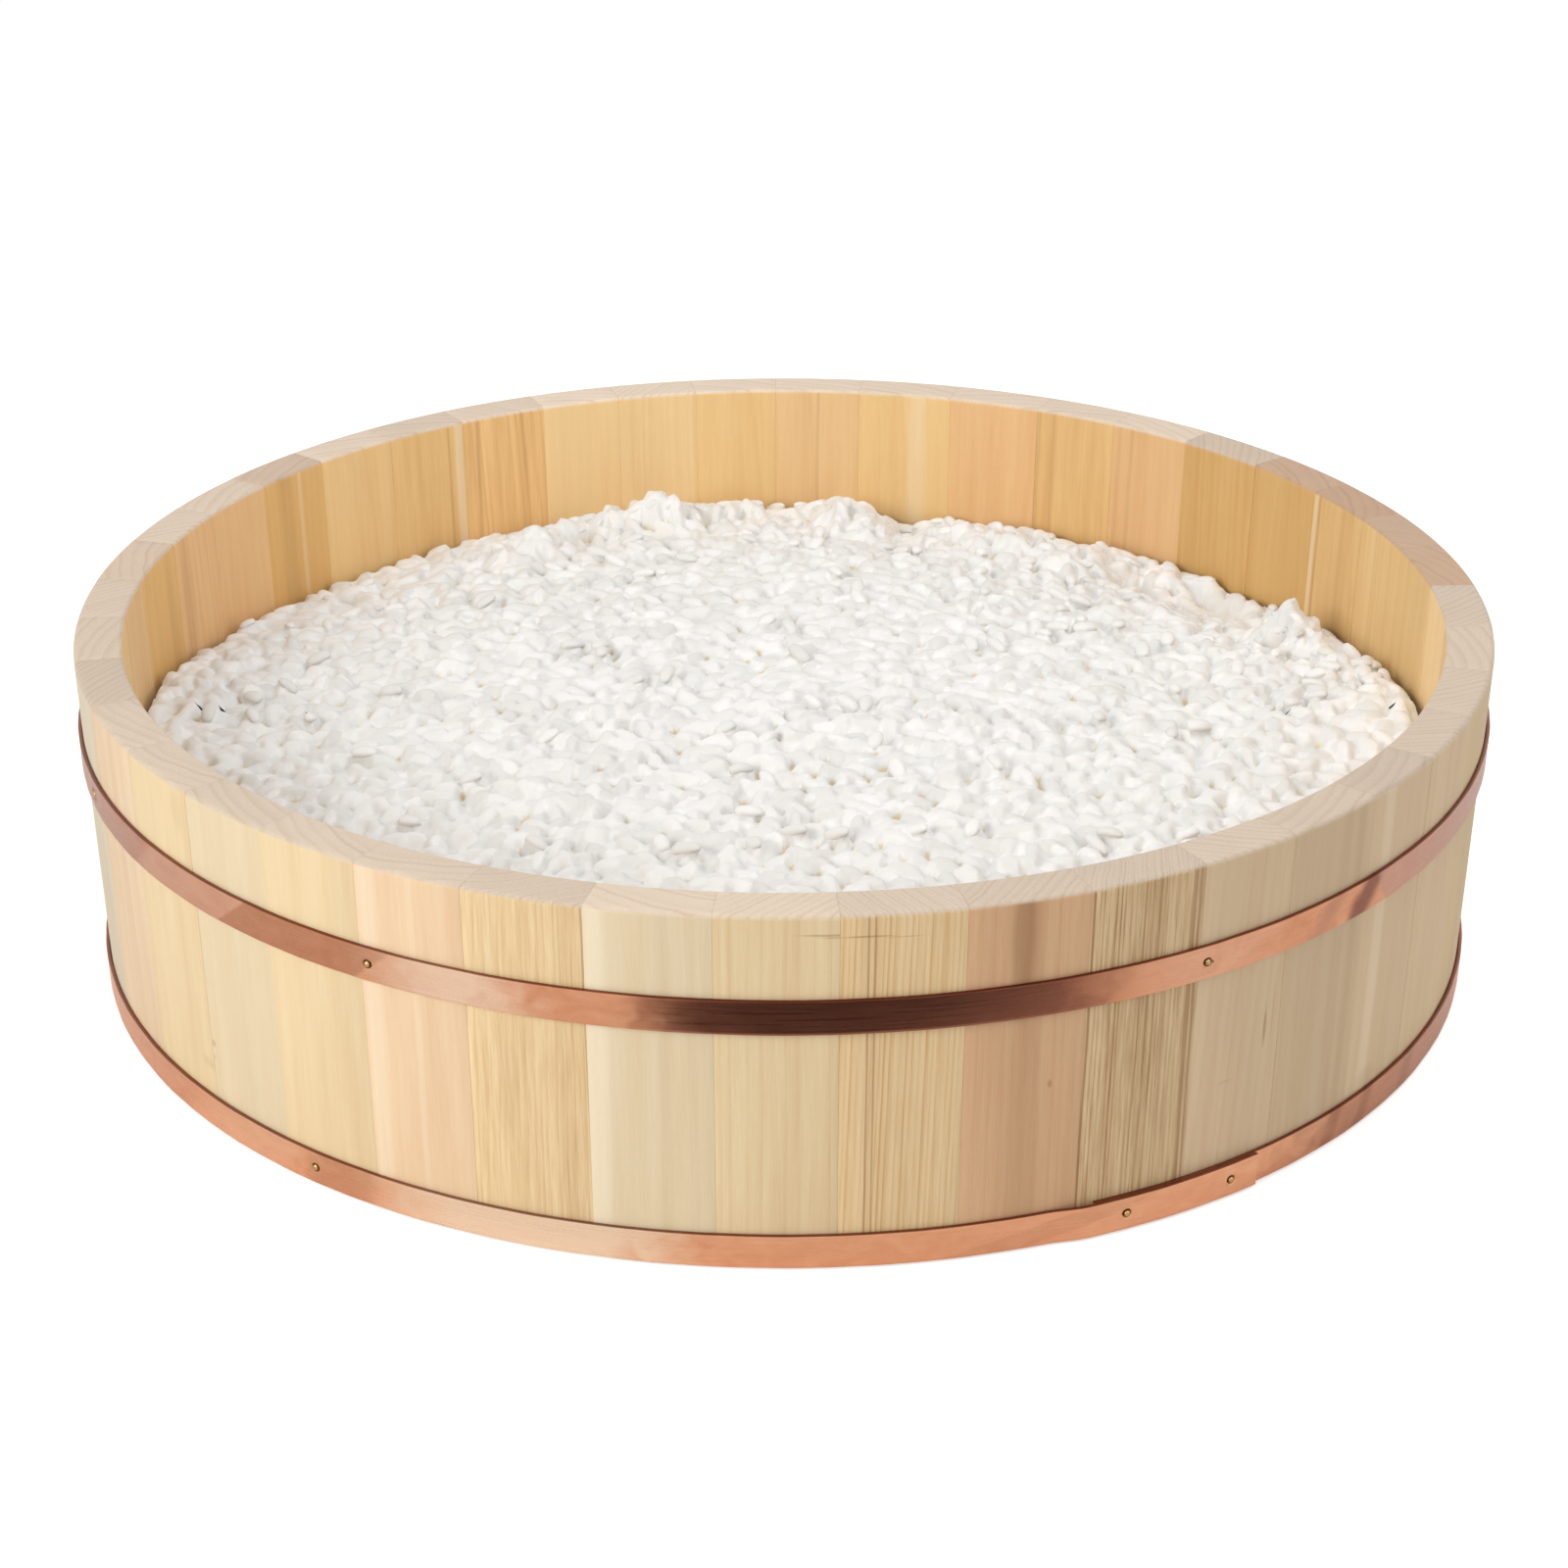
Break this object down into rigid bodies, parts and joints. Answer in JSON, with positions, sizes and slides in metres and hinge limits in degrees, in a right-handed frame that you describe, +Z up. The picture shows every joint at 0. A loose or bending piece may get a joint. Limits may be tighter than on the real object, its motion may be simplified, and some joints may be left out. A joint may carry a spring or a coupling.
{
  "type": "wooden sushi rice tub",
  "caption": "Shallow round wooden tub of upright staves held by two copper hoops round a boarded bottom, filled halfway with cooked rice.",
  "frame": {"origin": "on the floor, at the middle of the ring of staves' feet", "axes": "+Z up along the tub's axis, -Y towards the front that the picture shows, +X to its right"},
  "size_m": [0.3605, 0.3605, 0.09],
  "materials": {
    "wood_cream": "matte",
    "wood_honey": "matte",
    "wood_straight": "matte",
    "wood_rosy": "matte",
    "wood_brown": "matte",
    "wood_tan": "matte",
    "copper": "satin",
    "brass_pin": "satin",
    "rice": "satin"
  },
  "bodies": {
    "tub": {"stave_01": "wood_cream", "stave_02": "wood_honey", "stave_03": "wood_straight", "stave_04": "wood_rosy", "stave_05": "wood_brown", "stave_06": "wood_cream", "stave_07": "wood_tan", "stave_08": "wood_honey", "stave_09": "wood_tan", "stave_10": "wood_honey", "stave_11": "wood_tan", "stave_12": "wood_cream", "stave_13": "wood_honey", "stave_14": "wood_honey", "stave_15": "wood_straight", "stave_16": "wood_brown", "stave_17": "wood_honey", "stave_18": "wood_rosy", "stave_19": "wood_straight", "stave_20": "wood_rosy", "stave_21": "wood_honey", "stave_22": "wood_tan", "stave_23": "wood_honey", "stave_24": "wood_cream", "stave_25": "wood_rosy", "stave_26": "wood_brown", "stave_27": "wood_straight", "stave_28": "wood_cream", "stave_29": "wood_brown", "stave_30": "wood_honey", "stave_31": "wood_rosy", "stave_32": "wood_brown", "stave_33": "wood_tan", "stave_34": "wood_honey", "stave_35": "wood_cream", "stave_36": "wood_rosy", "stave_37": "wood_honey", "stave_38": "wood_cream", "stave_39": "wood_honey", "stave_40": "wood_rosy", "stave_41": "wood_straight", "bottom_board_1": "wood_honey", "bottom_board_2": "wood_honey", "bottom_board_3": "wood_honey", "bottom_board_4": "wood_honey", "hoop_upper": "copper", "hoop_lower": "copper", "pin_upper_1": "brass_pin", "pin_upper_2": "brass_pin", "pin_upper_3": "brass_pin", "pin_upper_4": "brass_pin", "pin_upper_5": "brass_pin", "pin_upper_6": "brass_pin", "pin_lower_1": "brass_pin", "pin_lower_2": "brass_pin", "pin_lower_3": "brass_pin", "pin_lower_4": "brass_pin", "pin_lower_5": "brass_pin", "pin_lower_6": "brass_pin"},
    "rice": {"rice": "rice"}
  },
  "joints": [
    {"name": "rice_lift", "type": "slide", "parent": "tub", "child": "rice", "axis": [0, 0, 1], "range_m": [0, 0.12]}
  ]
}
